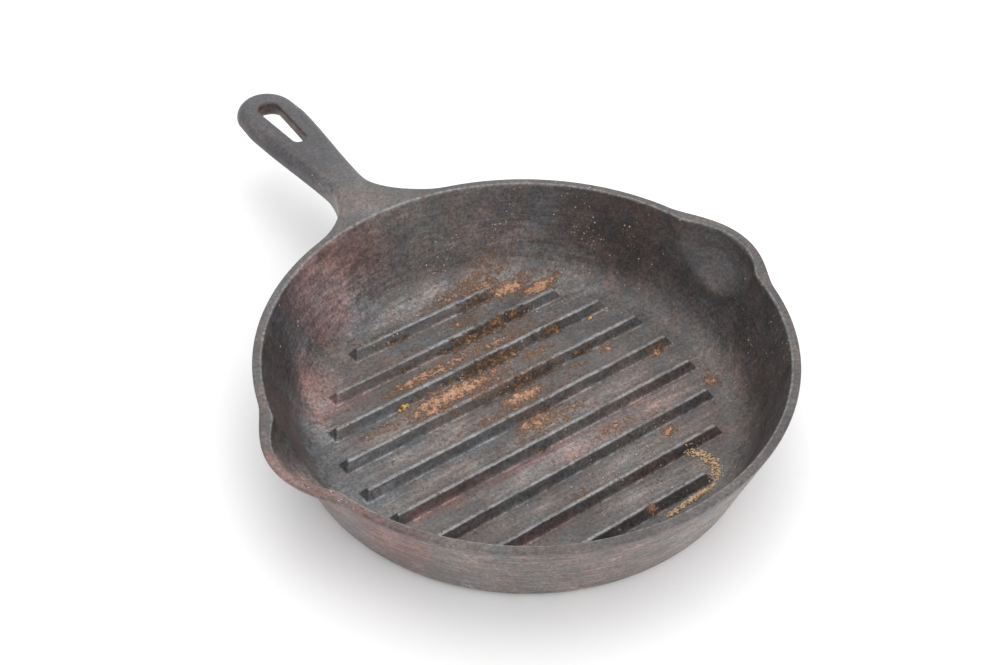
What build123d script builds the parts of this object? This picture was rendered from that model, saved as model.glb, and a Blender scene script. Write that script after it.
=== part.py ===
from build123d import *
from math import atan2, degrees, sqrt
import os

# Cast iron grill skillet: a round pan with straight ridges across its floor, two pour spouts and one long
# handle with a hang hole. The real object is one sand casting, so the nodes are its named regions and they
# meet face to face. Millimetres. The origin is the centre of the resting face, +Z is up, +Y runs along the
# handle, and the ridges and both spouts lie along X.

# Pan
RIM_R = 131.0              # outer radius of the rim
RIM_WIDTH = 4.9            # wall thickness across the rim
HEIGHT = 52.4              # from the resting face to the rim
BASE_R = 112.0             # where the outer wall would meet the resting face if the corner were sharp
BASE_CORNER_R = 8.0        # rounding between the outer wall and the resting face
FLOOR_T = 3.6              # floor thickness
FLOOR_CORNER_R = 15.0      # rounding between the inner wall and the floor
FLOOR_R = 97.5             # radius of the flat cooking floor

# Pour spouts: a round scoop that pushes the wall outwards
SCOOP_R = 38.0             # radius of the scoop inside the spout
SCOOP_CENTRE_RISE = 10.0   # height of the scoop's centre above the rim
SPOUT_REACH = 9.0          # how far the lip stands outside the rim circle
SPOUT_BLEND_R = 12.0       # rounding where the spout's outside runs into the wall
SPOUT_HALF_WIDTH = 38.0    # half the width of the wall's stretch that belongs to a spout
SPOUT_FOOT_Z = 20.0        # height at which that stretch starts

# Grill ridges
RIDGE_COUNT = 9
RIDGE_PITCH = 21.35
RIDGE_HEIGHT = 4.9
RIDGE_CREST = 1.8          # width across the top
RIDGE_FOOT = 8.0           # width across the bottom
RIDGE_CORNER_R = 3.6       # rounding of the foot's corners seen from above
RIDGE_ENDS_X = 94.5        # the ridges end on an oval: its half width across the pan,
RIDGE_ENDS_Y = 97.6        # and its half width along the handle
RIDGE_CENTRE_X = -1.1      # the ridges sit a little off the pan's middle line,
RIDGE_DRIFT = -0.016       # and shift this much sideways for each millimetre towards the handle

# Handle
HANDLE_LENGTH = 265.4      # from the pan's centre to the handle's tip
NECK_HALF_WIDTH = 11.8
FLARE_R = 40.0             # concave flare from the neck to the rim, one on each side
BULB_R = 18.4              # the grip's widest place
BULB_Y = 236.0
TIP_R = 17.4               # round end of the handle
GRIP_TOP_Z = 50.8          # top of the grip, a little under the rim
GRIP_BOTTOM_Z = 38.4       # underside of the grip at the root
TIP_BOTTOM_Z = 40.6        # and at the tip, where the grip is thinner
ROOT_BOTTOM_Z = 28.0       # height at which the handle's underside meets the pan's wall
ROOT_BOTTOM_HALF_WIDTH = 18.0
ROOT_END_Y = 165.0         # where the root's slopes end and the grip starts

# Hang hole: a slot with round ends, wider towards the tip
HOLE_TIP_R = 5.9
HOLE_NECK_R = 3.9
HOLE_TIP_Y = 245.2         # centre of the wide end
HOLE_NECK_Y = 212.5        # centre of the narrow end

MARGIN = 5.0               # how far a cutting tool reaches past what it cuts

WALL_LEAN = (RIM_R - BASE_R) / HEIGHT     # outward lean of the wall for each millimetre of height
SCOOP_Z = HEIGHT + SCOOP_CENTRE_RISE
SPOUT_OUTER_R = SCOOP_R + RIM_WIDTH
SCOOP_X = RIM_R + SPOUT_REACH - sqrt(SPOUT_OUTER_R**2 - SCOOP_CENTRE_RISE**2)
FLARE_X = NECK_HALF_WIDTH + FLARE_R       # the flare's centre, tangent to the neck and to the rim
NECK_Y = sqrt((RIM_R + FLARE_R) ** 2 - FLARE_X**2)
ROOT_HALF_WIDTH = FLARE_X * RIM_R / (RIM_R + FLARE_R)     # where the flare runs out on the rim
RIDGE_RUN = (RIDGE_FOOT - RIDGE_CREST) / 2


def turned(points, corner, radius):
    """Solid of revolution about Z from a closed list of (radius, height) points with one rounded corner."""
    outline = Polyline(*[(r, 0, z) for r, z in points], close=True)
    face = Face(Wire(outline.edges()))
    vertex = face.vertices().sort_by_distance((corner[0], 0, corner[1]))[0]
    return revolve(face.fillet_2d(radius, [vertex]), Axis.Z)


def under_rim(solid):
    """The part of a solid that lies at or under the rim's height."""
    size = 4 * RIM_R
    return solid & Pos(0, 0, HEIGHT - size / 2) * Box(size, size, size)


def spout_ball(side, radius):
    return Pos(side * SCOOP_X, 0, SCOOP_Z) * Sphere(radius)


def is_spout_seam(edge):
    """True for the curve where a spout's ball comes out of the wall."""
    box = edge.bounding_box()
    at_spout = abs(edge.position_at(0.5).X) > BASE_R
    dips = box.min.Z < HEIGHT - MARGIN and box.max.Z > HEIGHT - 0.01
    return at_spout and dips


def outer_form():
    """Everything inside the pan's outer surface, with both spouts pushed out of the wall."""
    points = [(0, 0), (BASE_R, 0), (RIM_R, HEIGHT), (0, HEIGHT)]
    form = turned(points, (BASE_R, 0), BASE_CORNER_R)
    for side in (-1, 1):
        form += under_rim(spout_ball(side, SPOUT_OUTER_R))
    return fillet([e for e in form.edges() if is_spout_seam(e)], SPOUT_BLEND_R)


def cavity():
    """The space inside the pan, with the scoops of both spouts, open at the top."""
    inner_rim = RIM_R - RIM_WIDTH
    foot = inner_rim - WALL_LEAN * (HEIGHT - FLOOR_T)
    top = inner_rim + WALL_LEAN * MARGIN
    points = [(0, FLOOR_T), (foot, FLOOR_T), (top, HEIGHT + MARGIN), (0, HEIGHT + MARGIN)]
    space = turned(points, (foot, FLOOR_T), FLOOR_CORNER_R)
    for side in (-1, 1):
        space += spout_ball(side, SCOOP_R)
    return space


def pan_regions(shell):
    """Cuts the pan's shell into its floor, its two spouts and the two stretches of wall between them."""
    reach = RIM_R + SPOUT_REACH + MARGIN
    floor_tool = Cylinder(FLOOR_R, 2 * HEIGHT)
    regions = {"pan_floor": shell & floor_tool}
    wall = shell - floor_tool
    spout_height = HEIGHT + MARGIN - SPOUT_FOOT_Z
    spout_z = SPOUT_FOOT_Z + spout_height / 2
    for side, name in ((-1, "pour_spout_left"), (1, "pour_spout_right")):
        tool = Pos(side * reach / 2, 0, spout_z) * Box(reach, 2 * SPOUT_HALF_WIDTH, spout_height)
        regions[name] = wall & tool
        wall = wall - tool
    for side, name in ((-1, "front_wall"), (1, "rear_wall")):
        half = Pos(0, side * reach / 2, 0) * Box(2 * reach, reach, 4 * HEIGHT)
        regions[name] = wall & half
    return regions


def grill_ridge(index, shell):
    """One ridge, counted from the handle: sloped sides and ends, and a narrow level crest. The feet of the
    outer ridges are cut back where they reach the rounding round the floor."""
    y = RIDGE_PITCH * ((RIDGE_COUNT - 1) / 2 - index)
    length = 2 * RIDGE_ENDS_X * sqrt(1 - (y / RIDGE_ENDS_Y) ** 2)
    slope = degrees(atan2(RIDGE_RUN, RIDGE_HEIGHT))
    ridge = extrude(RectangleRounded(length, RIDGE_FOOT, RIDGE_CORNER_R), RIDGE_HEIGHT, taper=slope)
    return Pos(RIDGE_CENTRE_X + RIDGE_DRIFT * y, y, FLOOR_T) * ridge - shell


def handle_plan():
    """The handle's outline from above: a tapered grip with a round end, and a root that flares to the rim."""
    tip = Pos(0, HANDLE_LENGTH - TIP_R) * Circle(TIP_R)
    bulb = Pos(0, BULB_Y) * Circle(BULB_R)
    neck = Pos(0, NECK_Y) * Circle(NECK_HALF_WIDTH)
    root = Pos(0, NECK_Y / 2) * Rectangle(2 * ROOT_HALF_WIDTH, NECK_Y)
    for side in (-1, 1):
        root -= Pos(side * FLARE_X, NECK_Y) * Circle(FLARE_R)
    return make_hull(tip.edges() + bulb.edges()) + make_hull(bulb.edges() + neck.edges()) + root


def prism(points, reach):
    """Solid that a closed list of corners makes when it is pushed both ways along its own normal."""
    return extrude(Face(Wire(Polyline(*points, close=True).edges())), reach, both=True)


def handle_side():
    """The handle's outline from the side, as a solid: a grip that thins to its tip, and a root that deepens
    to the wall."""
    end = HANDLE_LENGTH + MARGIN
    top = [(0, HEIGHT), (RIM_R, HEIGHT), (ROOT_END_Y, GRIP_TOP_Z), (end, GRIP_TOP_Z)]
    bottom = [(end, TIP_BOTTOM_Z), (ROOT_END_Y, GRIP_BOTTOM_Z), (BASE_R, ROOT_BOTTOM_Z), (0, ROOT_BOTTOM_Z)]
    return prism([(0, y, z) for y, z in top + bottom], FLARE_X)


def handle_front():
    """The root's outline along the handle, as a solid: full width at the rim and narrower below it."""
    high = [(-ROOT_HALF_WIDTH, 0, HEIGHT), (ROOT_HALF_WIDTH, 0, HEIGHT)]
    low = [(ROOT_BOTTOM_HALF_WIDTH, 0, ROOT_BOTTOM_Z), (-ROOT_BOTTOM_HALF_WIDTH, 0, ROOT_BOTTOM_Z)]
    return prism(high + low, HANDLE_LENGTH + MARGIN)


def hang_hole():
    """The tool that cuts the hang hole."""
    wide = Pos(0, HOLE_TIP_Y) * Circle(HOLE_TIP_R)
    narrow = Pos(0, HOLE_NECK_Y) * Circle(HOLE_NECK_R)
    slot = make_hull(wide.edges() + narrow.edges())
    return Pos(0, 0, GRIP_BOTTOM_Z - MARGIN) * extrude(slot, GRIP_TOP_Z - GRIP_BOTTOM_Z + 2 * MARGIN)


def handle(outer):
    """Grip, flared root and hang hole, cut back to the pan's outer surface."""
    body = extrude(handle_plan(), HEIGHT) & handle_side() & handle_front()
    return body - hang_hole() - outer


def build():
    os.makedirs("parts", exist_ok=True)
    outer = outer_form()
    shell = outer - cavity()
    nodes = pan_regions(shell)
    nodes["handle"] = handle(outer)
    for index in range(RIDGE_COUNT):
        nodes[f"grill_ridge_{index + 1}"] = grill_ridge(index, shell)
    for name, solid in nodes.items():
        export_step(solid, f"parts/{name}.step")


build()
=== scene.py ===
from math import atan2, cos, pi, radians, sin, sqrt, tan
from types import SimpleNamespace

import bmesh
import bpy
import numpy as np
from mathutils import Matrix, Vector


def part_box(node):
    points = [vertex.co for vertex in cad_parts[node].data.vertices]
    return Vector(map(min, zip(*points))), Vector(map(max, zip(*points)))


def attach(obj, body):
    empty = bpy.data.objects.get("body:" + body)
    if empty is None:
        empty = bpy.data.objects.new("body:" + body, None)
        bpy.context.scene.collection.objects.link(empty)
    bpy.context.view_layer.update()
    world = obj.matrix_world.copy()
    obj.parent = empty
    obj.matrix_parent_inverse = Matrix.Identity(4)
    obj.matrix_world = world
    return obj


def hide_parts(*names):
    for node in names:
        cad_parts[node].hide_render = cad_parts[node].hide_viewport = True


# Cast iron grill skillet. Shapes are worked out in millimetres in the frame's own axes: origin at the centre
# of the resting face, +Z up, +Y along the handle, X along the ridges and from spout to spout.
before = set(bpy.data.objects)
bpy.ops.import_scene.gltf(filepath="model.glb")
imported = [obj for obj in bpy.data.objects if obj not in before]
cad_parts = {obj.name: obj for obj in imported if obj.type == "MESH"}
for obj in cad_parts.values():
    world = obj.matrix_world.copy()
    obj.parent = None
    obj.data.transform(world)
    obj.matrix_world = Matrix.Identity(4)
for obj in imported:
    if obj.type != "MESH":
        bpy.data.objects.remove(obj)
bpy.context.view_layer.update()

MM = 0.001
SEED = 7


def node_box(name):
    """Lowest and highest corner of a CAD node, in millimetres."""
    low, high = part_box(name)
    return np.array(low) / MM, np.array(high) / MM


# ---------------------------------------------------------------- sizes taken from the frame
RIM_R, HEIGHT = node_box("rear_wall")[1][1:]
FLOOR_Z = node_box("pan_floor")[1][2]
TIP_Y = node_box("handle")[1][1]
SPOUT_X = node_box("pour_spout_right")[1][0]

# ---------------------------------------------------------------- sizes of the casting, in millimetres
RIM_WIDTH = 4.9
BASE_R = 112.0
BASE_CORNER_R = 8.0
FLOOR_CORNER_R = 15.0
RIM_INNER_EDGE_R = 1.2
RIM_OUTER_EDGE_R = 1.5
LIP_INNER_EDGE_R = 3.0          # rounding of the rim's inner edge at a spout
SCOOP_R = 38.0
SCOOP_RISE = 10.0
SCOOP_BLEND = 2.5
SPOUT_THINNING = 2.8            # how much thinner the spout's wall is below its lip
WALL_LEAN = (RIM_R - BASE_R) / HEIGHT
WALL_ANGLE = atan2(HEIGHT, RIM_R - BASE_R)      # of the wall, measured from the floor

AROUND = 620                    # columns of the pan's mesh
FLOOR_STEP = 2.2                # spacing of the rings across the flat floor
SPOUT_DENSITY = 1.2             # extra columns at the spouts


# ---------------------------------------------------------------- small maths
def smooth_max(a, b, k):
    """The larger of two numbers, with the change from one to the other rounded over k."""
    h = np.maximum(k - np.abs(a - b), 0) / k
    return np.maximum(a, b) + h * h * k / 4


def smooth_min(a, b, k):
    return -smooth_max(-a, -b, k)


def round_max(a, b, r):
    """Two distances combined into the inside of both, with the edge between them rounded to radius r."""
    return np.minimum(np.maximum(a, b), -r) + np.hypot(np.maximum(a + r, 0), np.maximum(b + r, 0))


def ease(t):
    t = np.clip(t, 0, 1)
    return t * t * (3 - 2 * t)


def waves(p, wavelength, seed, count=14):
    """Smooth unevenness in every direction, about -1 to 1, the same for every piece at the same place."""
    rng = np.random.RandomState(seed)
    total = np.zeros(len(p))
    for _ in range(count):
        direction = rng.normal(size=3)
        direction /= np.linalg.norm(direction)
        length = wavelength * rng.uniform(0.7, 1.6)
        total += np.sin(p @ direction * (2 * pi / length) + rng.uniform(0, 2 * pi))
    return total / sqrt(count)


# ---------------------------------------------------------------- meshes
def grid_faces(rows, columns):
    """Quads of a grid that closes on itself sideways, with its vertices numbered row by row."""
    r, c = np.meshgrid(np.arange(rows - 1), np.arange(columns), indexing="ij")
    nxt = (c + 1) % columns
    quads = np.stack([r * columns + c, r * columns + nxt, (r + 1) * columns + nxt, (r + 1) * columns + c], -1)
    return quads.reshape(-1, 4)


def make_mesh(name, points, faces, slot, *nodes):
    """A smooth-shaded piece from points in millimetres. It rides on the casting and replaces CAD nodes."""
    mesh = bpy.data.meshes.new(name)
    mesh.from_pydata((np.asarray(points) * MM).tolist(), [], [list(f) for f in faces])
    mesh.validate()
    mesh.update()
    mesh.shade_smooth()
    piece = bpy.data.objects.new(name, mesh)
    bpy.context.scene.collection.objects.link(piece)
    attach(piece, "root")
    if nodes:
        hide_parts(*nodes)
    return piece


def face_out(piece):
    """Turns a closed mesh's faces outwards."""
    bm = bmesh.new()
    bm.from_mesh(piece.data)
    bmesh.ops.recalc_face_normals(bm, faces=bm.faces)
    bm.to_mesh(piece.data)
    bm.free()
    piece.data.shade_smooth()


# ---------------------------------------------------------------- the pan
def wall_r(z):
    """Outer radius of the wall at height z, away from the spouts and the foot."""
    return RIM_R - WALL_LEAN * (HEIGHT - z)


SCOOP_Z = HEIGHT + SCOOP_RISE
SPOUT_OUTER_R = SCOOP_R + RIM_WIDTH
SCOOP_X = SPOUT_X - sqrt(SPOUT_OUTER_R**2 - SCOOP_RISE**2)


def ball_reach(angle, z, radius):
    """How far out a spout's ball reaches at an angle from +X and a height, or 0 where it isn't met."""
    across = SCOOP_X * np.sin(angle)
    disc = radius**2 - (z - SCOOP_Z) ** 2 - across**2
    forward = np.abs(np.cos(angle)) * SCOOP_X
    return np.where(disc > 0, forward + np.sqrt(np.maximum(disc, 0)), 0.0)


def inner_r(angle, z):
    return smooth_max(wall_r(z) - RIM_WIDTH, ball_reach(angle, z, SCOOP_R), SCOOP_BLEND)


def outer_r(angle, z):
    """The spout's outside draws in fast below the lip, and its blend with the wall is widest at the rim."""
    radius = SPOUT_OUTER_R - SPOUT_THINNING * ease((HEIGHT - z) / 12)
    blend = 1.0 + 8.0 * ease((z - 38) / 13)
    return smooth_max(wall_r(z), ball_reach(angle, z, radius), blend)


def column_angles():
    """Angles of the pan's mesh columns, closer together at the spouts."""
    fine = np.linspace(0, 2 * pi, 20001)
    density = 1 + SPOUT_DENSITY * np.exp(-((np.sin(fine) / 0.28) ** 2))
    total = np.concatenate([[0], np.cumsum((density[1:] + density[:-1]) / 2)])
    return np.interp(np.arange(AROUND) / AROUND, total / total[-1], fine)


def corner_arc(corner_r, corner_z, radius, count):
    """Round corner between a level face and the leaning wall: (r, z) from the level face to the wall."""
    reach = radius / tan((pi - WALL_ANGLE) / 2)
    centre_r, centre_z = corner_r - reach, corner_z + radius
    turn = np.linspace(-pi / 2, WALL_ANGLE - pi / 2, count)
    return centre_r + radius * np.cos(turn), centre_z + radius * np.sin(turn)


def level_ring(r, z):
    """One ring of the pan's mesh, a circle at a level height."""
    return np.full(AROUND, float(r)), np.full(AROUND, float(z))


def inside_rings(angle, inner_edge):
    """Rings from the floor's centre, over the rounded corner and up the inside of the wall."""
    foot_r = wall_r(FLOOR_Z) - RIM_WIDTH
    arc_r, arc_z = corner_arc(foot_r, FLOOR_Z, FLOOR_CORNER_R, 16)
    flat = np.concatenate([[0.8, 3], np.arange(6, arc_r[0] - 1.2, FLOOR_STEP)])
    rings = [level_ring(r, FLOOR_Z) for r in flat]
    rings += [level_ring(r, z) for r, z in zip(arc_r, arc_z)]
    for t in np.linspace(0, 1, 34)[1:]:
        z = arc_z[-1] + (HEIGHT - inner_edge - arc_z[-1]) * t
        rings.append((inner_r(angle, z), z))
    return rings


def rim_rings(angle, inner_edge):
    """Rings over the rim, with both of its edges rounded."""
    rings = []
    for turn in np.linspace(0, pi / 2, 7)[1:]:
        z = HEIGHT - inner_edge * (1 - sin(turn))
        rings.append((inner_r(angle, z) + inner_edge * (1 - cos(turn)), z))
    top_in = inner_r(angle, HEIGHT) + inner_edge
    top_out = outer_r(angle, HEIGHT) - RIM_OUTER_EDGE_R
    for t in (0.33, 0.67):
        rings.append((top_in + (top_out - top_in) * t, np.full(AROUND, HEIGHT)))
    for turn in np.linspace(pi / 2, 0, 8):
        z = np.full(AROUND, HEIGHT - RIM_OUTER_EDGE_R * (1 - sin(turn)))
        rings.append((outer_r(angle, z) - RIM_OUTER_EDGE_R * (1 - cos(turn)), z))
    return rings


def outside_rings(angle):
    """Rings down the outside, round the corner and in under the base."""
    arc_r, arc_z = corner_arc(BASE_R, 0, BASE_CORNER_R, 12)
    rings = []
    for t in np.linspace(0, 1, 30)[1:-1]:
        z = np.full(AROUND, HEIGHT - RIM_OUTER_EDGE_R + (arc_z[-1] - HEIGHT + RIM_OUTER_EDGE_R) * t)
        rings.append((outer_r(angle, z), z))
    rings += [level_ring(r, z) for r, z in zip(arc_r[::-1], arc_z[::-1])]
    rings += [level_ring(r, 0) for r in (100, 90, 75, 50, 25, 2)]
    return rings


def build_pan():
    """Floor, walls, rim and spouts as one closed skin."""
    angle = column_angles()
    at_spout = np.exp(-((np.sin(angle) / 0.17) ** 2))
    inner_edge = RIM_INNER_EDGE_R + (LIP_INNER_EDGE_R - RIM_INNER_EDGE_R) * at_spout
    rings = inside_rings(angle, inner_edge) + rim_rings(angle, inner_edge) + outside_rings(angle)
    points = np.concatenate([np.stack([r * np.cos(angle), r * np.sin(angle), z], -1) for r, z in rings])
    count = len(rings)
    points = np.vstack([points, [[0, 0, FLOOR_Z], [0, 0, 0]]])
    points = unevenness(points)
    faces = grid_faces(count, AROUND).tolist()
    last = (count - 1) * AROUND
    middle = count * AROUND
    for c in range(AROUND):
        n = (c + 1) % AROUND
        faces.append([middle, n, c])
        faces.append([middle + 1, last + c, last + n])
    pan = make_mesh("pan", points, faces, "pan_iron",
                    "pan_floor", "front_wall", "rear_wall", "pour_spout_left", "pour_spout_right")
    face_out(pan)
    return pan


def unevenness(points, most=0.12):
    """Gentle waviness of a sand casting. The rim's top and the resting face stay level, and nothing grows."""
    offset = most * (0.7 * waves(points, 34, SEED) + 0.3 * waves(points, 11, SEED + 1))
    r = np.hypot(points[:, 0], points[:, 1])
    inside = (points[:, 2] > FLOOR_Z - 0.1) & (r < RIM_R - RIM_WIDTH)
    keep = ease((points[:, 2] - 1) / 6) * ease((HEIGHT - points[:, 2]) / 8)
    keep = np.where(inside & (points[:, 2] < FLOOR_Z + 0.2), 0.5, keep)
    steep = ease((points[:, 2] - FLOOR_Z) / 12)
    moved = points.copy()
    push = -np.abs(offset) * keep
    radial = points[:, :2] / np.maximum(r, 1e-6)[:, None]
    moved[:, :2] += radial * (push * steep)[:, None]
    moved[:, 2] += push * (1 - steep) * inside
    return moved


# ---------------------------------------------------------------- the ridges
RIDGES = 9
RIDGE_CREST = 1.8
RIDGE_CORNER_R = 0.7
RIDGE_ROW = 0.6                 # spacing of the mesh's rows up a ridge's side
RIDGE_EDGE_R = 0.45
RIDGE_FOOT_FILLET = 1.1
RIDGE_SINK = 0.4                # how far a ridge's skirt reaches into the floor


def ridge_profile(height, run):
    """(inset, z) from the foot's skirt to the crest: concave foot, straight slope, rounded edge."""
    slope = atan2(height, run)
    fillet = RIDGE_FOOT_FILLET * tan(slope / 2)
    points = [(-fillet - 0.5, -RIDGE_SINK), (-fillet - 0.25, -0.06)]
    for turn in np.linspace(0, slope, 6):
        points.append((-fillet + RIDGE_FOOT_FILLET * sin(turn), RIDGE_FOOT_FILLET * (1 - cos(turn))))
    edge = RIDGE_EDGE_R * tan(slope / 2)
    for t in (0.3, 0.6):
        x0, z0 = points[7]
        x1, z1 = run - edge * cos(slope), height - edge * sin(slope)
        points.append((x0 + (x1 - x0) * t, z0 + (z1 - z0) * t))
    for turn in np.linspace(slope, 0, 6):
        points.append((run + edge - RIDGE_EDGE_R * sin(turn), height - RIDGE_EDGE_R * (1 - cos(turn))))
    return points


def rounded_outline(half_x, half_y, corner, long_count):
    """Points round a rectangle with rounded corners, the same number whatever its size."""
    inner_x, inner_y = half_x - corner, half_y - corner
    points = []
    for sx, sy, start in ((1, 1, 0), (-1, 1, pi / 2), (-1, -1, pi), (1, -1, 3 * pi / 2)):
        for turn in np.linspace(start, start + pi / 2, 6):
            points.append((sx * inner_x + corner * cos(turn), sy * inner_y + corner * sin(turn)))
        if start in (0, pi):
            for t in np.linspace(0, 1, long_count + 1)[1:-1]:
                points.append((sx * inner_x * (1 - 2 * t), sy * half_y))
    return np.array(points)


def finer(profile, step):
    """The same outline with more points on its long stretches."""
    points = np.array(profile, float)
    made = [points[0]]
    for a, b in zip(points[:-1], points[1:]):
        parts = max(1, int(round(np.hypot(*(b - a)) / step)))
        made += [a + (b - a) * (i + 1) / parts for i in range(parts)]
    return made


def build_ridge(number):
    name = f"grill_ridge_{number}"
    low, high = node_box(name)
    centre = (low + high) / 2
    half_x, half_y = (high[0] - low[0]) / 2, (high[1] - low[1]) / 2
    run = half_y - RIDGE_CREST / 2
    profile = finer(ridge_profile(high[2] - low[2], run), RIDGE_ROW)
    count = int(half_x * 2 / 1.6)
    loops = []
    for inset, z in profile:
        corner = min(RIDGE_CORNER_R, half_y - inset - 0.05)
        outline = rounded_outline(half_x - inset, half_y - inset, corner, count)
        loops.append(np.column_stack([outline + centre[:2], np.full(len(outline), low[2] + z)]))
    around = len(loops[0])
    points = np.concatenate(loops)
    wobble = waves(points, 17, SEED + 2) * 0.10 + waves(points, 5, SEED + 3) * 0.05
    above = ease((points[:, 2] - low[2]) / 2)
    points[:, 1] += wobble * above
    points[:, 2] -= np.abs(waves(points, 23, SEED + 4)) * 0.10 * above
    faces = grid_faces(len(loops), around).tolist()
    top = (len(loops) - 1) * around
    faces += cap_faces(top, around, count)
    faces += [list(reversed(f)) for f in cap_faces(0, around, count)]
    ridge = make_mesh(name + "_casting", points, faces, "ridge_iron", name)
    face_out(ridge)
    return ridge


def cap_faces(start, around, count):
    """Quads across a long loop, joining each point to the one opposite."""
    half = around // 2
    first = [start + i for i in range(half)]
    second = [start + around - 1 - i for i in range(half)]
    faces = []
    for i in range(half - 1):
        faces.append([first[i], first[i + 1], second[i + 1], second[i]])
    return faces


# ---------------------------------------------------------------- the handle
FLARE_R = 40.0
NECK_HALF_WIDTH = 11.8
BULB_R, BULB_Y = 18.4, 236.0
TIP_R = 17.4
GRIP_TOP_Z = 50.3               # at the neck; the tip stands a little higher
GRIP_TIP_RISE = 1.0
GRIP_BOTTOM_Z = 38.4
TIP_BOTTOM_RISE = 2.2
ROOT_DEPTH = 12.0               # how much lower the root's underside is than the grip's
GRIP_CROWN = 1.5                # how much the grip's top falls towards its edges
GRIP_BELLY = 0.6                # and how much its underside rises
HOLE_TIP_R, HOLE_TIP_Y = 5.9, 245.2
HOLE_NECK_R, HOLE_NECK_Y = 3.9, 212.5
HOLE_TOP_EDGE_R = 1.3
HOLE_BOTTOM_EDGE_R = 5.5
GRIP_TOP_EDGE_R = 5.6
GRIP_BOTTOM_EDGE_R = 3.4
GRIP_S_SHAPE = 0.6              # 0 gives straight sides, 1 a full S from the neck to the bulb
ROOT_BLEND = 6.0                # rounding where the root runs into the wall
HANDLE_CELL = 0.8
FLARE_X = NECK_HALF_WIDTH + FLARE_R
NECK_Y = sqrt((RIM_R + FLARE_R) ** 2 - FLARE_X**2)


def capsule(x, y, y0, r0, y1, r1):
    """Distance in plan to the hull of two circles on the Y axis."""
    length = y1 - y0
    lean = (r0 - r1) / length
    rise = sqrt(1 - lean * lean)
    px, py = np.abs(x), y - y0
    near = np.hypot(px, py) - r0
    far = np.hypot(px, py - length) - r1
    side = px * rise + py * lean - r0
    along = py * rise - px * lean
    return np.where(along < 0, near, np.where(along > rise * length, far, side))


def handle_plan(x, y):
    """Distance in plan to the handle's outline: flared root, grip that widens in an easy S, and bulb."""
    flare = FLARE_R - np.hypot(np.abs(x) - FLARE_X, y - NECK_Y)
    root = np.maximum(flare, np.abs(x) - FLARE_X * RIM_R / (RIM_R + FLARE_R))
    t = np.clip((y - NECK_Y) / (BULB_Y - NECK_Y), 0, 1)
    widening = (1 - GRIP_S_SHAPE) * t + GRIP_S_SHAPE * ease(t)
    grip = np.abs(x) - NECK_HALF_WIDTH - (BULB_R - NECK_HALF_WIDTH) * widening
    bulb = capsule(x, y, BULB_Y, BULB_R, TIP_Y - TIP_R, TIP_R)
    return np.where(y < NECK_Y, root, np.where(y < BULB_Y, grip, bulb))


def handle_distance(p):
    """Distance-like field of the handle with its root blended into the wall: negative inside."""
    x, y, z = p[..., 0], p[..., 1], p[..., 2]
    r = np.hypot(x, y)
    plan = handle_plan(x, y)
    out = ease((y - RIM_R) / (NECK_Y - RIM_R))
    across = out * np.minimum(x / BULB_R, 1.2) ** 2
    top_z = HEIGHT - 0.02 - (HEIGHT - GRIP_TOP_Z) * ease((r - RIM_R) / 40)
    top_z = top_z + GRIP_TIP_RISE * ease((y - 190) / 70) - GRIP_CROWN * across
    bottom_z = GRIP_BOTTOM_Z - ROOT_DEPTH * (1 - ease((y - BASE_R) / 56))
    bottom_z = bottom_z + TIP_BOTTOM_RISE * ease((y - NECK_Y) / 90) + GRIP_BELLY * across
    lower = round_max(plan, bottom_z - z, GRIP_BOTTOM_EDGE_R)
    wall = (r - wall_r(z)) * sin(WALL_ANGLE)
    sunk_wall = wall + 0.4 * ease(lower / 5)        # away from the handle the skin dips under the pan's
    blend = ROOT_BLEND * (1.02 - ease((np.abs(x) - 16) / 20))      # the flare runs out without a step
    joined = smooth_min(lower, sunk_wall, blend)
    edge = RIM_OUTER_EDGE_R + (GRIP_TOP_EDGE_R - RIM_OUTER_EDGE_R) * out
    body = round_max(joined, z - top_z, edge)
    hole = capsule(x, y, HOLE_NECK_Y, HOLE_NECK_R, HOLE_TIP_Y, HOLE_TIP_R)
    lip = HOLE_BOTTOM_EDGE_R + (HOLE_TOP_EDGE_R - HOLE_BOTTOM_EDGE_R) * ease((z - 43) / 5)
    body = round_max(body, -hole, lip)
    body = np.maximum(body, -(wall + 1.6))
    return np.maximum(body, lower - ROOT_BLEND)


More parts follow.
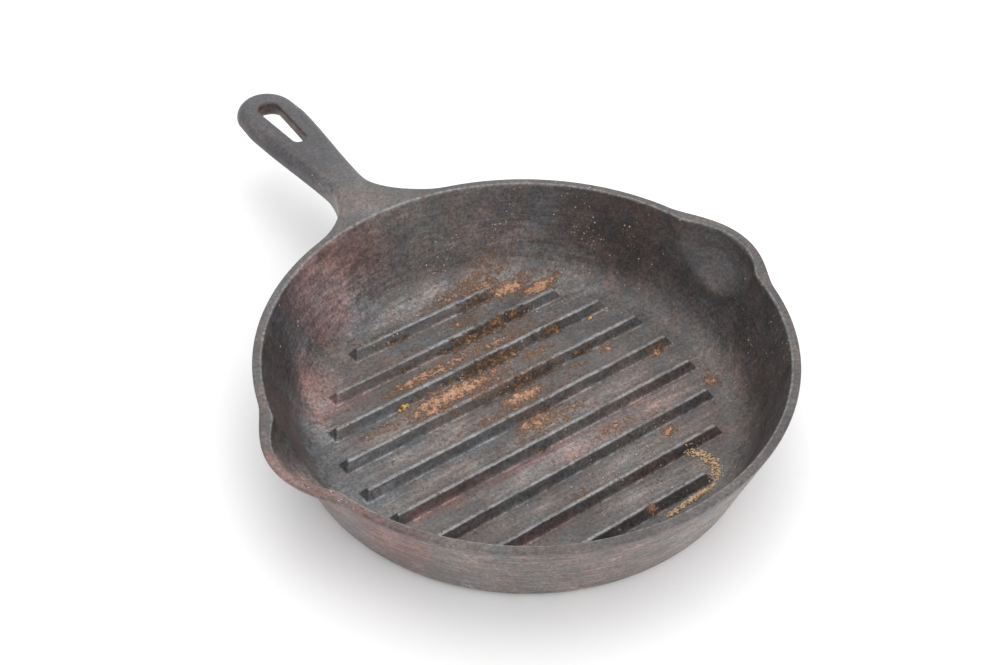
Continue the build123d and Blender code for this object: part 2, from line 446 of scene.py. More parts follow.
def surface_net(field, low, high, cell):
    """Closed quad mesh where a field is zero inside a box, with its points then pulled onto the surface."""
    axes = [np.arange(a, b + cell, cell) for a, b in zip(low, high)]
    corners = np.stack(np.meshgrid(*axes, indexing="ij"), -1)
    value = field(corners)
    inside = value < 0
    shape = tuple(n - 1 for n in value.shape)
    total = np.zeros(shape + (3,))
    hits = np.zeros(shape)
    offsets = [(a, b) for a in (0, 1) for b in (0, 1)]
    for axis in range(3):
        head = [slice(None)] * 3
        tail = [slice(None)] * 3
        head[axis], tail[axis] = slice(0, -1), slice(1, None)
        v0, v1 = value[tuple(head)], value[tuple(tail)]
        crossing = inside[tuple(head)] != inside[tuple(tail)]
        t = np.where(crossing, v0 / np.where(crossing, v0 - v1, 1), 0)
        place = corners[tuple(head)].copy()
        place[..., axis] += t * cell
        others = [a for a in range(3) if a != axis]
        for a, b in offsets:
            part = [slice(None)] * 3
            part[others[0]] = slice(a, a + shape[others[0]])
            part[others[1]] = slice(b, b + shape[others[1]])
            mask = crossing[tuple(part)]
            total += place[tuple(part)] * mask[..., None]
            hits += mask
    used = hits > 0
    number = np.full(shape, -1)
    number[used] = np.arange(used.sum())
    points = total[used] / hits[used][:, None]
    faces = []
    for axis in range(3):
        others = [a for a in range(3) if a != axis]
        head = [slice(1, -1)] * 3
        tail = [slice(1, -1)] * 3
        head[axis], tail[axis] = slice(0, -1), slice(1, None)
        change = inside[tuple(head)] != inside[tuple(tail)]
        where = np.argwhere(change)
        where[:, others[0]] += 1
        where[:, others[1]] += 1
        ring = []
        for a, b in ((1, 1), (0, 1), (0, 0), (1, 0)):
            cellpos = where.copy()
            cellpos[:, others[0]] -= a
            cellpos[:, others[1]] -= b
            ring.append(number[tuple(cellpos.T)])
        faces.append(np.stack(ring, -1))
    for _ in range(4):
        here = field(points)
        gradient = np.stack([(field(points + d) - field(points - d)) / 0.04 for d in np.eye(3) * 0.02], -1)
        size = np.maximum((gradient**2).sum(-1), 0.05)
        step = np.clip(here / size, -cell / 2, cell / 2)
        points = points - gradient * step[:, None]
    return points, np.concatenate(faces)


def build_handle():
    low = np.array([-56.0, 110.0, 20.0])
    high = np.array([56.0, TIP_Y + 2, HEIGHT + 2])
    points, faces = surface_net(handle_distance, low, high, HANDLE_CELL)
    handle = make_mesh("handle_casting", points, faces.tolist(), "handle_iron", "handle")
    face_out(handle)
    return handle


# ---------------------------------------------------------------- where the iron is rusty, tinted or worn, and where shade and highlights are painted
# Each spot is (x, y, half length along X, half width along Y, strength), in millimetres on the floor.
RUST_SPOTS = [
    (-20, 33, 30, 5.5, 0.9), (-36, 29, 14, 4, 0.7), (-4, 24, 46, 7, 0.4), (10, 52, 44, 6, 0.4),
    (4, 6, 40, 7, 0.34), (0, -14, 36, 6, 0.28), (-62, 33, 16, 4, 0.4), (34, 96, 26, 6, 0.45),
    (8, 36, 12, 3, 0.6), (-28, 52, 24, 3.5, 0.75), (-6, 53, 14, 4, 0.6), (20, 50, 16, 4, 0.5),
    (6, 11, 15, 4.5, 0.8), (30, 33, 14, 4, 0.45), (2, -8, 14, 5.5, 0.7), (-14, 7, 10, 4, 0.4),
    (22, -10, 10, 3, 0.5), (50, 83, 12, 5, 0.95), (64, 74, 12, 4, 0.95), (38, 92, 14, 3.5, 0.7),
    (22, 94, 16, 3, 0.55), (60, 84, 8, 5, 0.5), (51, -51, 5, 3.2, 0.75), (91, -36, 4, 4.5, 0.7),
    (63, 14, 4, 2.5, 0.7), (9, -87.5, 3, 2, 0.9), (30, -33, 12, 3, 0.45), (-12, -58, 10, 3, 0.35),
    (40, 13, 8, 3, 0.4), (83, -4, 6, 2.5, 0.7), (105, 8, 4, 4, 0.35), (54, -38, 9, 3, 0.3),
    (14, 75, 12, 4, 0.45), (-20, 72, 9, 3, 0.3),
]
CRUST_SPOTS = [
    (12, 60.5, 30, 3.0, 1.0), (34, 61.5, 13, 3.0, 1.0), (6, 39.3, 27, 3.0, 1.0),
    (46, 39.8, 20, 2.4, 0.7), (14, 17.8, 30, 3.0, 0.85), (52, 18.2, 18, 2.2, 0.6),
    (28, 82, 13, 3.0, 0.85), (-22, 82, 9, 2.4, 0.7), (10, -3.4, 17, 2.4, 0.55), (-30, 61, 12, 2.2, 0.5),
    (84, -3, 6, 2.6, 0.6), (-38, 39.5, 12, 2.2, 0.4), (0, -24.5, 14, 2.0, 0.3),
]
MAROON_SPOTS = [
    (-74, 76, 14, 20, 0.6), (-72, 58, 22, 5, 0.9), (-46, 66, 30, 14, 0.35), (-112, 50, 10, 26, 0.5),
    (-66, -25, 26, 5, 1.0), (-20, -27.5, 40, 2.6, 0.9), (-40, -68, 22, 4, 0.7), (20, -37, 46, 9, 0.5),
    (60, -30, 34, 20, 0.4), (70, -58, 26, 22, 0.4), (105, -40, 26, 60, 0.3), (-134, -20, 16, 24, 1.0),
    (-118, -60, 16, 22, 1.0), (-66, 106, 34, 12, 1.0), (-40, 120, 40, 8, 0.9), (30, -66, 20, 3.5, 0.6),
    (62, 108, 40, 22, 0.35), (-40, -112, 50, 16, 0.3), (110, 60, 20, 40, 0.5),
]
OUTER_MAROON_SPOTS = [(-136, -16, 14, 30, 1.0), (-118, -60, 16, 24, 1.0), (-40, -112, 50, 16, 0.3)]
OUTER_PALE_SPOTS = [(-137, -16, 9, 26, 0.7)]
BLUE_SPOTS = [
    (-94, 30, 12, 34, 1.0), (-92, -4, 14, 40, 0.9), (-50, 104, 40, 8, 1.0), (-104, -30, 16, 30, 0.9),
    (-60, 38, 26, 5, 0.8), (-70, 17, 30, 4, 0.8), (-50, -3.5, 46, 3, 0.9), (10, -47, 70, 3, 0.5),
    (70, 96, 26, 18, 0.5), (10, 98, 22, 12, 0.5), (-10, 74, 24, 5, 0.6), (-80, 92, 16, 14, 0.8),
]
# Partly painted sheen and glints: the bright band on the far corner between floor and wall and the sheen
# between the ridges.
PALE_AND_SHEEN_SPOTS = [
    (8, 98, 36, 8, 1.0), (40, 90, 36, 11, 0.85), (72, 72, 22, 24, 0.5), (-4, -34, 44, 6, 1.0),
    (20, -12, 60, 5, 0.5), (-50, 10, 34, 6, 0.6), (-54, -12, 30, 6, 0.55), (-58, 30, 18, 5, 0.7),
    (-74, 74, 12, 16, 1.0), (20, -76, 30, 6, 0.6), (52, -34, 40, 8, 0.5), (-88, 40, 10, 30, 0.5),
    (124, 0, 8, 14, 0.7), (-131, -22, 14, 30, 1.0), (-120, -40, 14, 18, 0.8), (-84, -2, 8, 30, 0.4),
    (-50, 112, 44, 14, 0.5), (10, -55, 60, 6, 0.5),
]
SPECK_SPOTS = [
    (26, 106, 26, 7, 1.0), (58, 106, 26, 9, 0.9), (10, 95, 28, 8, 1.0), (-26, 91, 24, 8, 0.9),
    (-130, -26, 12, 18, 0.7), (-60, 84, 20, 12, 0.5), (88, 60, 20, 26, 0.5), (66, -66, 14, 16, 0.6),
    (-6, 34, 50, 14, 0.6), (98, -50, 14, 30, 0.35), (30, -62, 50, 30, 0.3), (20, 56, 50, 10, 0.6),
]


def spots(p, places):
    """How strongly a list of spots covers each point, 0 to 1."""
    total = np.zeros(len(p))
    for x, y, half_x, half_y, strength in places:
        reach = ((p[:, 0] - x) / half_x) ** 2 + ((p[:, 1] - y) / half_y) ** 2
        total = np.maximum(total, strength * np.exp(-0.9 * reach**1.3))
    return total


def paint(piece, **layers):
    """Stores numbers per vertex under a layer's name, where the materials read them."""
    for name, values in layers.items():
        layer = piece.data.attributes.new(name, "FLOAT", "POINT")
        layer.data.foreach_set("value", np.clip(values, 0, 1).astype(np.float32))


def vertices_mm(piece):
    flat = np.empty(len(piece.data.vertices) * 3)
    piece.data.vertices.foreach_get("co", flat)
    return flat.reshape(-1, 3) / MM


def paint_patina(piece, soot, rubbed, inside):
    """The layers every iron piece shares. Soot and painted shade darken, wear and painted highlights are
    bright, inside is the cooking side.
    """
    p = vertices_mm(piece)
    maroon = spots(p, MAROON_SPOTS) * inside + spots(p, OUTER_MAROON_SPOTS) * (1 - inside)
    pale = spots(p, PALE_AND_SHEEN_SPOTS) * inside + spots(p, OUTER_PALE_SPOTS) * (1 - inside)
    rust = spots(p, RUST_SPOTS) * inside
    crust = spots(p, CRUST_SPOTS) * inside
    blue = spots(p, BLUE_SPOTS) * inside
    speck = spots(p, SPECK_SPOTS)
    paint(piece, rust=rust, crust=crust, maroon=maroon, blue=blue, pale=pale, speck=speck, soot=soot,
          rubbed=rubbed)


def rim_soot(p):
    """The rim is a little darker than the wall, more so on the right."""
    return (p[:, 2] > HEIGHT - 1.5) * (0.12 + 0.22 * ease((p[:, 0] + 60) / 120))


def paint_pan(pan):
    p = vertices_mm(pan)
    r = np.hypot(p[:, 0], p[:, 1])
    angle = np.arctan2(p[:, 1], p[:, 0])
    rim_in = inner_r(angle, HEIGHT)
    inside = ease((inner_r(angle, p[:, 2]) + 1.5 - r) / 1.5) * (p[:, 2] > FLOOR_Z - 0.5)
    # Painted shade: the inside of the wall is darkened higher up, more on the right and at the left-back.
    height = ease((p[:, 2] - FLOOR_Z) / 30)
    right = ease((p[:, 0] / 130 - p[:, 1] / 400 + 0.1) / 0.9)
    left = ease((0.4 * p[:, 1] - p[:, 0] - 95) / 30) * ease((p[:, 1] + 5) / 30)
    soot = inside * height * (0.02 + 1.25 * right + 1.15 * left)
    soot += (1 - inside) * rim_soot(p)
    # Painted highlights: bright lines along the rim's inner and outer edges, partly wear.
    inner_lip = np.exp(-(((r - rim_in - 0.4) / 0.7) ** 2)) * (p[:, 2] > HEIGHT - 2.5)
    outer_lip = np.exp(-(((r - outer_r(angle, p[:, 2])) / 0.8) ** 2)) * (p[:, 2] > HEIGHT - 1.6)
    paint_patina(pan, soot, 0.55 * inner_lip + 0.25 * outer_lip, inside)
    outside = (1 - inside) * ease((HEIGHT - 1.5 - p[:, 2]) / 3)
    paint(pan, wall=ease((p[:, 2] - FLOOR_Z - 1) / 10), outside=outside)


def paint_ridge(ridge):
    p = vertices_mm(ridge)
    low, high = p.min(axis=0), p.max(axis=0)
    height = (p[:, 2] - FLOOR_Z) / (high[2] - FLOOR_Z)
    front = p[:, 1] < (low[1] + high[1]) / 2 - 0.2
    # Painted highlight: a bright line at the crest's edge, stronger on the front side, partly wear.
    edge = np.exp(-(((height - 0.95) / 0.06) ** 2)) * (0.3 + 0.7 * front)
    rubbed = edge * (0.85 + 0.3 * waves(p, 24, SEED + 9)) + 0.15 * (height > 0.97)
    # Painted shade on the ridge's flanks, partly sooting.
    flank = ease((height - 0.14) / 0.12) * (1 - ease((height - 0.86) / 0.1))
    paint_patina(ridge, 0.5 * flank, rubbed, np.ones(len(p)))
    # Painted highlight: a light line along the ridge's front foot.
    foot = np.exp(-(((height - 0.03) / 0.05) ** 2)) * (p[:, 1] < (low[1] + high[1]) / 2)
    paint(ridge, wall=np.zeros(len(p)), outside=np.zeros(len(p)), foot=foot)


def paint_handle(handle):
    """At its root the handle is painted as the pan's outside is, so that the seam doesn't show."""
    p = vertices_mm(handle)
    none = np.zeros(len(p))
    grip = ease((p[:, 1] - 146) / 44)
    near = 1 - grip
    hole = capsule(p[:, 0], p[:, 1], HOLE_NECK_Y, HOLE_NECK_R, HOLE_TIP_Y, HOLE_TIP_R)
    in_hole = 1 - ease((hole - 0.1) / 1.0)
    patch = np.exp(-(((p[:, 0] + 4) / 20) ** 2) - ((p[:, 1] - 142) / 14) ** 2)
    maroon = np.maximum(spots(p, OUTER_MAROON_SPOTS), 0.35 * patch)
    speck = np.maximum(spots(p, SPECK_SPOTS) * near, 0.35 * patch)
    # Painted shade darkens the inside of the hanging hole.
    soot = rim_soot(p) * near + 0.3 * in_hole
    outside = near * ease((HEIGHT - 1.5 - p[:, 2]) / 3)
    paint(handle, rust=none, crust=none, maroon=maroon, blue=none, pale=0.3 * patch, speck=speck, soot=soot,
          rubbed=none, wall=near, outside=outside, foot=none, grip=grip, brown=in_hole)


# ---------------------------------------------------------------- materials
MAROON_TINT = (1.3, 0.90, 0.86)
BLUE_TINT = (0.98, 1.10, 1.19)
# Brightens the pale spots, which are partly painted sheen and glints.
PALE_AND_SHEEN_TINT = (1.85, 1.8, 1.77)
# Darkens sooting and painted shade.
SOOT_AND_SHADE_TINT = (0.40, 0.40, 0.42)
SMUT_TINT = (0.42, 0.40, 0.40)
GRIP_TINT = (0.60, 0.64, 0.72)
# Brightens a painted highlight along the ridges' front feet.
FOOT_HIGHLIGHT_TINT = (2.1, 2.0, 1.95)
BROWN_TINT = (1.1, 0.72, 0.55)
PAN_TONES = (0.062, 0.055, 0.053), (0.100, 0.091, 0.088), (0.150, 0.138, 0.133)
RIDGE_TONES = (0.062, 0.056, 0.055), (0.096, 0.089, 0.088), (0.140, 0.131, 0.130)
CRUMB_TONES = (0.20, 0.12, 0.06), (0.48, 0.32, 0.18), (0.66, 0.50, 0.33)
FLAKE_TONES = (0.20, 0.09, 0.02), (0.52, 0.27, 0.05), (0.70, 0.46, 0.16)
ALONG_X = (0.05, 0.35, 0.35)    # streaks that run along the ridges
ALONG_Y = (0.3, 0.06, 0.3)      # streaks that run along the handle
ROUND_WALL = (0.06, 0.06, 0.5)  # streaks that run round the wall


class Graph:
    """A material with short calls for its nodes. Inputs are numbers, colours or other nodes' outputs."""

    def __init__(self, name):
        self.material = bpy.data.materials.new(name)
        self.material.use_nodes = True
        self.tree = self.material.node_tree
        self.shader = self.tree.nodes["Principled BSDF"]
        self.place = self.node("ShaderNodeTexCoord").outputs["Object"]
        self.place = self.scaled(self.place, (1 / MM,) * 3)

    def node(self, kind, inputs=None, **settings):
        made = self.tree.nodes.new(kind)
        for name, value in settings.items():
            setattr(made, name, value)
        for key, value in (inputs or {}).items():
            self.put(made.inputs[key], value)
        return made

    def put(self, socket, value):
        if isinstance(value, bpy.types.NodeSocket):
            self.tree.links.new(value, socket)
        elif isinstance(value, tuple) and socket.type == "RGBA":
            socket.default_value = (*value, 1)
        else:
            socket.default_value = value

    def scaled(self, place, factors):
        return self.node("ShaderNodeVectorMath", {0: place, 1: factors}, operation="MULTIPLY").outputs[0]

    def noise(self, scale, detail=4, rough=0.55, place=None, distortion=0.0):
        inputs = {"Vector": place or self.place, "Scale": scale, "Detail": detail, "Roughness": rough,
                  "Distortion": distortion}
        return self.node("ShaderNodeTexNoise", inputs).outputs["Fac"]

    def math(self, operation, a, b=0.0, clamp=False):
        return self.node("ShaderNodeMath", {0: a, 1: b}, operation=operation, use_clamp=clamp).outputs[0]

    def fit(self, value, low, high, to_low=0.0, to_high=1.0):
        inputs = {"Value": value, "From Min": low, "From Max": high, "To Min": to_low, "To Max": to_high}
        return self.node("ShaderNodeMapRange", inputs, interpolation_type="SMOOTHSTEP").outputs[0]

    def layer(self, name):
        return self.node("ShaderNodeAttribute", attribute_name=name).outputs["Fac"]

    def broken(self, layer, noise, threshold, softness, spread=1.0):
        """A layer with its edge broken up by a noise: 1 where layer plus noise is over the threshold."""
        swing = self.math("MULTIPLY", self.math("SUBTRACT", noise, 0.5), spread)
        total = self.math("MULTIPLY_ADD", swing, 1.0)
        self.put(total.node.inputs[2], layer)
        return self.fit(total, threshold - softness, threshold + softness)

    def mix(self, factor, a, b, kind="MIX"):
        made = self.node("ShaderNodeMix", data_type="RGBA", blend_type=kind)
        self.put(made.inputs["Factor"], factor)
        self.put(made.inputs[6], a)
        self.put(made.inputs[7], b)
        return made.outputs[2]

    def ramp(self, value, *stops):
        made = self.node("ShaderNodeValToRGB", {"Fac": value})
        elements = made.color_ramp.elements
        while len(elements) < len(stops):
            elements.new(0.5)
        for element, (position, color) in zip(elements, stops):
            element.position = position
            element.color = (*color, 1)
        return made.outputs["Color"]

    def bump(self, height, depth_mm, normal=None):
        inputs = {"Height": height, "Distance": depth_mm * MM, "Strength": 1.0}
        if normal is not None:
            inputs["Normal"] = normal
        return self.node("ShaderNodeBump", inputs).outputs[0]

    def finish(self, color, roughness, metallic, normal):
        self.put(self.shader.inputs["Base Color"], color)
        self.put(self.shader.inputs["Roughness"], roughness)
        self.put(self.shader.inputs["Metallic"], metallic)
        self.put(self.shader.inputs["Normal"], normal)
        return self.material


def times(g, factor, color, tint):
    """The colour multiplied by a tint, as far as the factor says."""
    return g.mix(factor, color, g.mix(1.0, color, tint, "MULTIPLY"))


def shared_noises(g, streak_scale):
    """The noises that several layers use. Streaks run round the wall, and straight everywhere else."""
    flow = g.noise(1.0, 6, 0.62, place=g.scaled(g.place, streak_scale))
    around = g.noise(1.0, 6, 0.62, place=g.scaled(g.place, ROUND_WALL))
    wall = g.layer("wall")
    straight = g.math("MULTIPLY", flow, g.math("SUBTRACT", 1.0, wall))
    return SimpleNamespace(
        blotch=g.noise(0.1, 7, 0.66, distortion=0.5), grain=g.noise(0.55, 5, 0.7), sand=g.noise(1.7, 3, 0.7),
        ragged=g.noise(0.3, 10, 0.86, distortion=0.2), fine=g.noise(0.7, 5, 0.72),
        streak=g.math("ADD", straight, g.math("MULTIPLY", around, wall)))


def bare_iron(g, noises, dark, middle, light):
    """Colour of the mottled and streaked iron, before any stain."""
    large = g.noise(0.026, 4, 0.55)
    hue = g.noise(0.05, 5, 0.6, distortion=0.8)
    tone = g.math("ADD", g.math("MULTIPLY", large, 0.36), g.math("MULTIPLY", noises.blotch, 0.4))
    tone = g.math("ADD", tone, g.math("MULTIPLY", noises.streak, 0.24))
    color = g.ramp(tone, (0.38, dark), (0.5, middle), (0.62, light))
    tints = [
        g.ramp(noises.grain, (0.38, (0.62, 0.62, 0.63)), (0.62, (1.38, 1.37, 1.36))),
        g.ramp(noises.sand, (0.36, (0.7, 0.7, 0.7)), (0.64, (1.3, 1.3, 1.3))),
        g.ramp(hue, (0.4, (0.95, 1.0, 1.04)), (0.5, (1.0, 0.99, 0.98)), (0.6, (1.08, 0.97, 0.93))),
    ]
    for tint in tints:
        color = g.mix(1.0, color, tint, "MULTIPLY")
    return color


def add_tints(g, noises, color):
    """Maroon, blue and pale cloudiness with painted sheen, sooting and painted shade, painted foot
    highlights, the grip's cooler tone, small dark smuts.
    """
    color = times(g, g.broken(g.layer("maroon"), noises.blotch, 0.45, 0.35, 1.0), color, MAROON_TINT)
    color = times(g, g.broken(g.layer("blue"), noises.streak, 0.45, 0.3, 1.1), color, BLUE_TINT)
    pale = g.math("MAXIMUM", g.layer("pale"), g.math("MULTIPLY", g.layer("outside"), 0.55))
    color = times(g, g.broken(pale, noises.streak, 0.45, 0.35, 1.2), color, PALE_AND_SHEEN_TINT)
    color = times(g, g.layer("soot"), color, SOOT_AND_SHADE_TINT)
    color = times(g, g.layer("grip"), color, GRIP_TINT)
    foot = g.math("MULTIPLY", g.layer("foot"), g.fit(noises.blotch, 0.42, 0.56))
    color = times(g, foot, color, FOOT_HIGHLIGHT_TINT)
    color = times(g, g.layer("brown"), color, BROWN_TINT)
    smut = g.fit(g.noise(0.3, 6, 0.7, distortion=0.6), 0.60, 0.70)
    return times(g, g.math("MULTIPLY", smut, 0.65), color, SMUT_TINT)


def add_rubbed(g, noises, color):
    """Bare bright metal on worn edges, and painted highlights on the rim's edges and the ridges' crests. Like
    the layers below, it gives the colour and where the layer is.
    """
    rubbed = g.broken(g.layer("rubbed"), g.noise(0.4, 4, 0.6), 0.5, 0.4, 0.8)
    bright_edge_color = g.ramp(noises.grain, (0.36, (0.17, 0.167, 0.17)), (0.64, (0.36, 0.355, 0.36)))
    return g.mix(rubbed, color, bright_edge_color), rubbed


def add_rust(g, noises, color):
    """A brown stain with islands of paler, scaly rust in it."""
    stain = g.broken(g.layer("rust"), noises.ragged, 0.3, 0.25, 2.2)
    stain_color = g.ramp(noises.fine, (0.4, (0.11, 0.068, 0.045)), (0.6, (0.25, 0.135, 0.08)))
    color = g.mix(g.math("MULTIPLY", stain, 0.62), color, stain_color)
    rust = g.broken(g.layer("rust"), noises.ragged, 0.55, 0.2, 4.4)
    rust_color = g.ramp(noises.fine, (0.38, (0.30, 0.14, 0.075)), (0.47, (0.50, 0.26, 0.15)),
                        (0.6, (0.64, 0.40, 0.29)))
    return g.mix(g.math("MULTIPLY", rust, 0.85), color, rust_color), rust


def add_crust(g, noises, color):
    """Black burnt crust with rusty bits."""
    lumps = g.noise(1.0, 7, 0.72, place=g.scaled(g.place, (0.16, 0.34, 0.34)), distortion=0.5)
    crust = g.broken(g.layer("crust"), lumps, 0.6, 0.25, 2.8)
    bits = g.math("ADD", g.math("MULTIPLY", noises.ragged, 0.65), g.math("MULTIPLY", noises.fine, 0.35))
    crust_color = g.ramp(bits, (0.43, (0.02, 0.017, 0.016)), (0.50, (0.05, 0.032, 0.022)),
                         (0.55, (0.26, 0.115, 0.04)), (0.61, (0.48, 0.26, 0.11)))
    return g.mix(g.math("MULTIPLY", crust, 0.9), color, crust_color), crust


def add_specks(g, color):
    """Small pale and brown dots, denser where the layer says and in clusters."""
    warp = g.node("ShaderNodeTexNoise", {"Vector": g.place, "Scale": 0.8}).outputs["Color"]
    warped = g.node("ShaderNodeVectorMath", {0: g.place, 1: warp}, operation="ADD").outputs[0]
    cells = g.node("ShaderNodeTexVoronoi", {"Vector": warped, "Scale": 0.75})
    chosen = g.node("ShaderNodeSeparateColor", {0: cells.outputs["Color"]})
    reach = g.math("ADD", cells.outputs["Distance"], g.math("MULTIPLY", chosen.outputs[1], 0.25))
    dot = g.fit(reach, 0.52, 0.34)
    cluster = g.fit(g.noise(0.07, 4, 0.6), 0.44, 0.6)
    density = g.math("MULTIPLY", g.math("MULTIPLY", g.layer("speck"), cluster), -0.9)
    shown = g.math("GREATER_THAN", chosen.outputs[0], g.math("ADD", density, 0.993))
    speck = g.math("MULTIPLY", dot, shown)
    speck_color = g.ramp(chosen.outputs[2], (0.3, (0.22, 0.12, 0.05)), (0.6, (0.42, 0.30, 0.17)),
                         (0.9, (0.5, 0.46, 0.40)))
    return g.mix(g.math("MULTIPLY", speck, 0.8), color, speck_color), speck


def iron_roughness(g, noises, rubbed, dry, gloss):
    """Satin iron around a given gloss value, a little smoother on worn edges and painted highlights, matt
    where rusty or crusty.
    """
    mottle = g.math("ADD", g.math("MULTIPLY", noises.blotch, 0.6), g.math("MULTIPLY", noises.grain, 0.4))
    rough = g.fit(mottle, 0.36, 0.64, gloss - 0.08, gloss + 0.14)
    rough = g.math("SUBTRACT", rough, g.math("MULTIPLY", rubbed, 0.08))
    return g.math("MAXIMUM", rough, g.math("MULTIPLY", dry, 0.85))


def iron_normal(g, noises, raised):
    """Cast waviness, grain and sand marks, with rust, crust and specks standing up from them."""
    normal = g.bump(g.noise(0.14, 3, 0.5), 0.2)
    normal = g.bump(noises.grain, 0.14, normal)
    normal = g.bump(noises.sand, 0.04, normal)
    return g.bump(g.math("MULTIPLY", raised, noises.fine), 0.6, normal)


def iron(name, tones, streak_scale, gloss):
    """Old seasoned cast iron: mottled, streaked, tinted and rusted where the piece's layers say."""
    g = Graph(name)
    noises = shared_noises(g, streak_scale)
    color = add_tints(g, noises, bare_iron(g, noises, *tones))
    color, rubbed = add_rubbed(g, noises, color)
    color, rust = add_rust(g, noises, color)
    color, crust = add_crust(g, noises, color)
    color, speck = add_specks(g, color)
    dry = g.math("MAXIMUM", rust, crust)
    raised = g.math("ADD", dry, speck, clamp=True)
    rough = iron_roughness(g, noises, rubbed, dry, gloss)
    return g.finish(color, rough, g.math("MULTIPLY", rubbed, 0.35), iron_normal(g, noises, raised))


def crumb_material(name, dark, middle, light):
    g = Graph(name)
    tone = g.noise(0.5, 3, 0.6)
    color = g.ramp(tone, (0.35, dark), (0.48, middle), (0.62, light))
    return g.finish(color, 0.7, 0.0, g.bump(g.noise(1.6, 4, 0.6), 0.12))


# ---------------------------------------------------------------- crumbs of baked-on food
CRUMB_ROUTE = [
    (48, -67), (52.5, -71), (54, -78), (52, -86.5), (46, -91.2), (36, -91.6), (24, -92.4), (13, -93.4),
]
CRUMB_COUNT = 900
# Each flake heap is (x, y, half length along X, half width along Y, grain size, how many grains).
FLAKES = [(-47.4, 39.2, 3.2, 1.6, 1.5, 9), (70.0, 37.2, 2.4, 0.8, 0.9, 6)]


def grain_shape(rng, centre, size):
    """One irregular grain: a lumpy, slightly flattened polyhedron."""
    shape = bmesh.new()
    bmesh.ops.create_icosphere(shape, subdivisions=1, radius=1.0)
    stretch = rng.uniform(0.6, 1.25, size=3) * (1, 1, 0.7)
    points = np.array([v.co[:] for v in shape.verts]) * stretch
    points *= rng.uniform(0.72, 1.2, size=(len(points), 1))
    turn = rng.uniform(0, 2 * pi)
    spin = np.array([[cos(turn), -sin(turn), 0], [sin(turn), cos(turn), 0], [0, 0, 1]])
    points = points @ spin.T * size + centre
    faces = [[v.index for v in f.verts] for f in shape.faces]
    shape.free()
    return points, faces


def ridge_surface_z(x, y):
    """Height of the floor or of the ridge that covers a place."""
    z = FLOOR_Z
    for number in range(1, RIDGES + 1):
        low, high = node_box(f"grill_ridge_{number}")
        inset = min(x - low[0], high[0] - x, y - low[1], high[1] - y)
        slope = (high[2] - low[2]) / ((high[1] - low[1]) / 2 - RIDGE_CREST / 2)
        if inset > 0:
            z = max(z, min(high[2], FLOOR_Z + inset * slope))
    return z


def grains(name, drops, rng):
    """One piece made of many grains, each dropped at an (x, y, size)."""
    points, faces = [], []
    for x, y, size in drops:
        grain, sides = grain_shape(rng, (x, y, ridge_surface_z(x, y) + size * 0.3), size)
        start = sum(len(g) for g in points)
        points.append(grain)
        faces.extend([[start + i for i in side] for side in sides])
    piece = make_mesh(name, np.concatenate(points), faces, "pan_iron")
    face_out(piece)
    return piece


def build_crumbs(rng):
    """The band of crumbs that runs round the end of the front ridge and along its foot."""
    route = np.array(CRUMB_ROUTE, float)
    steps = np.hypot(*np.diff(route, axis=0).T)
    along = np.concatenate([[0], np.cumsum(steps)]) / steps.sum()
    drops = []
    for _ in range(CRUMB_COUNT):
        t = rng.beta(1.3, 1.5)
        spread = 1.7 if t < 0.42 else 0.8
        x = np.interp(t, along, route[:, 0]) + rng.normal() * spread
        y = np.interp(t, along, route[:, 1]) + rng.normal() * spread * 0.8
        drops.append((x, y, rng.uniform(0.3, 0.8)))
    return grains("baked_on_crumbs", drops, rng)


def build_flakes(rng):
    """Small heaps of golden flakes."""
    drops = []
    for x, y, half_x, half_y, size, count in FLAKES:
        for _ in range(count):
            place = x + rng.normal() * half_x / 2.4, y + rng.normal() * half_y / 2.4
            drops.append((*place, size * rng.uniform(0.45, 1.0)))
    return grains("golden_flakes", drops, rng)


# ---------------------------------------------------------------- making it all
pan_iron = iron("pan_iron", PAN_TONES, ALONG_X, 0.45)
ridge_iron = iron("ridge_iron", RIDGE_TONES, ALONG_X, 0.45)
handle_iron = iron("handle_iron", PAN_TONES, ALONG_Y, 0.42)

pan = build_pan()
paint_pan(pan)
pan.data.materials.append(pan_iron)
handle = build_handle()
paint_handle(handle)
handle.data.materials.append(handle_iron)
for number in range(1, RIDGES + 1):
    ridge = build_ridge(number)
    paint_ridge(ridge)
    ridge.data.materials.append(ridge_iron)
grain_rng = np.random.RandomState(SEED + 20)
crumbs = build_crumbs(grain_rng)
crumbs.data.materials.append(crumb_material("crumbs", *CRUMB_TONES))
flakes = build_flakes(grain_rng)
flakes.data.materials.append(crumb_material("flakes", *FLAKE_TONES))

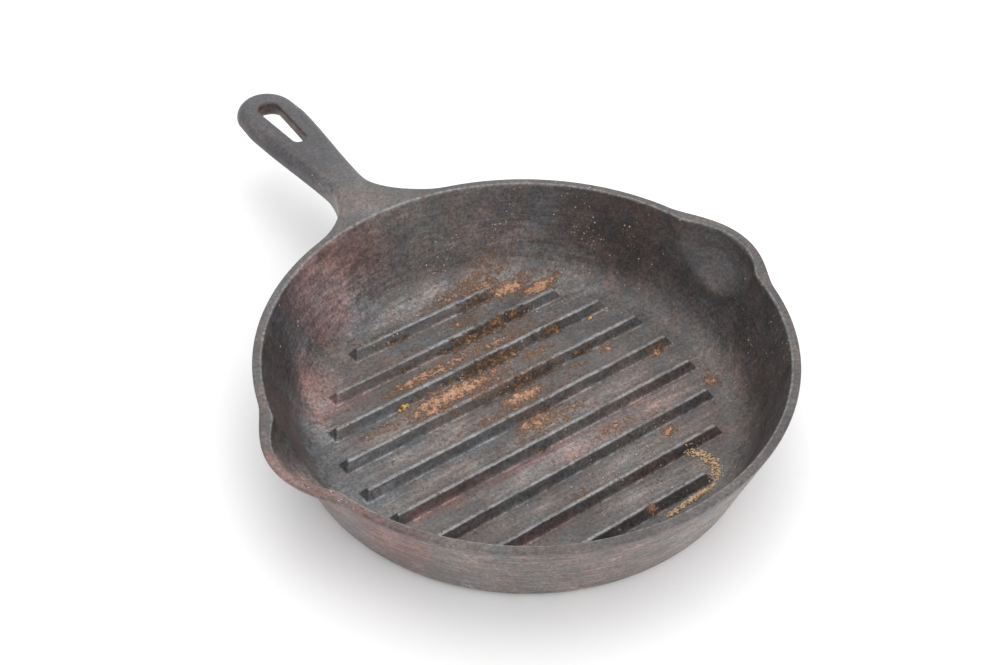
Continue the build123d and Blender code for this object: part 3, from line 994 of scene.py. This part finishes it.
# ---------------------------------------------------------------- stage, light and camera
FLOOR_HALF = 6.0
PAPER_COLOR = (0.93, 0.93, 0.935, 1)
WORLD_BRIGHTNESS = 0.95
floor_corners = [(sx * FLOOR_HALF, sy * FLOOR_HALF, 0) for sx, sy in ((-1, -1), (1, -1), (1, 1), (-1, 1))]
floor_mesh = bpy.data.meshes.new("floor")
floor_mesh.from_pydata(floor_corners, [], [(0, 1, 2, 3)])
floor = bpy.data.objects.new("floor", floor_mesh)
bpy.context.scene.collection.objects.link(floor)
paper = Graph("white_paper")
paper.shader.inputs["Base Color"].default_value = PAPER_COLOR
paper.shader.inputs["Roughness"].default_value = 0.8
floor.data.materials.append(paper.material)

scene = bpy.context.scene
world = bpy.data.worlds.new("studio")
scene.world = world
world.use_nodes = True
world.node_tree.nodes["Background"].inputs[0].default_value = (1, 1, 1, 1)
world.node_tree.nodes["Background"].inputs[1].default_value = WORLD_BRIGHTNESS
scene.view_settings.view_transform = "Standard"


def softbox(name, direction, distance, size, radiance):
    """A square area light of a given side and brightness, aimed at the pan."""
    data = bpy.data.lights.new(name, "AREA")
    data.shape = "SQUARE"
    data.size = size
    data.energy = radiance * pi * size**2
    light = bpy.data.objects.new(name, data)
    scene.collection.objects.link(light)
    place = Vector(direction).normalized() * distance
    light.location = place
    light.rotation_euler = (-place).to_track_quat("-Z", "Y").to_euler()


softbox("overhead_softbox", (0.16, 0.16, 0.95), 1.7, 1.6, 1.15)
softbox("back_softbox", (0.40, 0.66, 0.62), 2.0, 1.4, 0.6)
softbox("front_softbox", (0.10, -0.80, 0.50), 2.2, 1.8, 1.6)

VIEW_AZIMUTH = radians(-36.05)
VIEW_ELEVATION = radians(42.22)
VIEW_DISTANCE = 0.8152
VIEW_AIM = (0.01171, 0.03742, 0.025)
LENS = 57.87
level = cos(VIEW_ELEVATION)
back = Vector((sin(VIEW_AZIMUTH) * level, -cos(VIEW_AZIMUTH) * level, sin(VIEW_ELEVATION)))
camera_data = bpy.data.cameras.new("camera")
camera_data.lens = LENS
camera_data.sensor_width = 36
camera_data.clip_start = 0.01
camera_data.clip_end = 50
camera = bpy.data.objects.new("camera", camera_data)
scene.collection.objects.link(camera)
camera.location = Vector(VIEW_AIM) + VIEW_DISTANCE * back
camera.rotation_euler = (-back).to_track_quat("-Z", "Y").to_euler()
scene.camera = camera
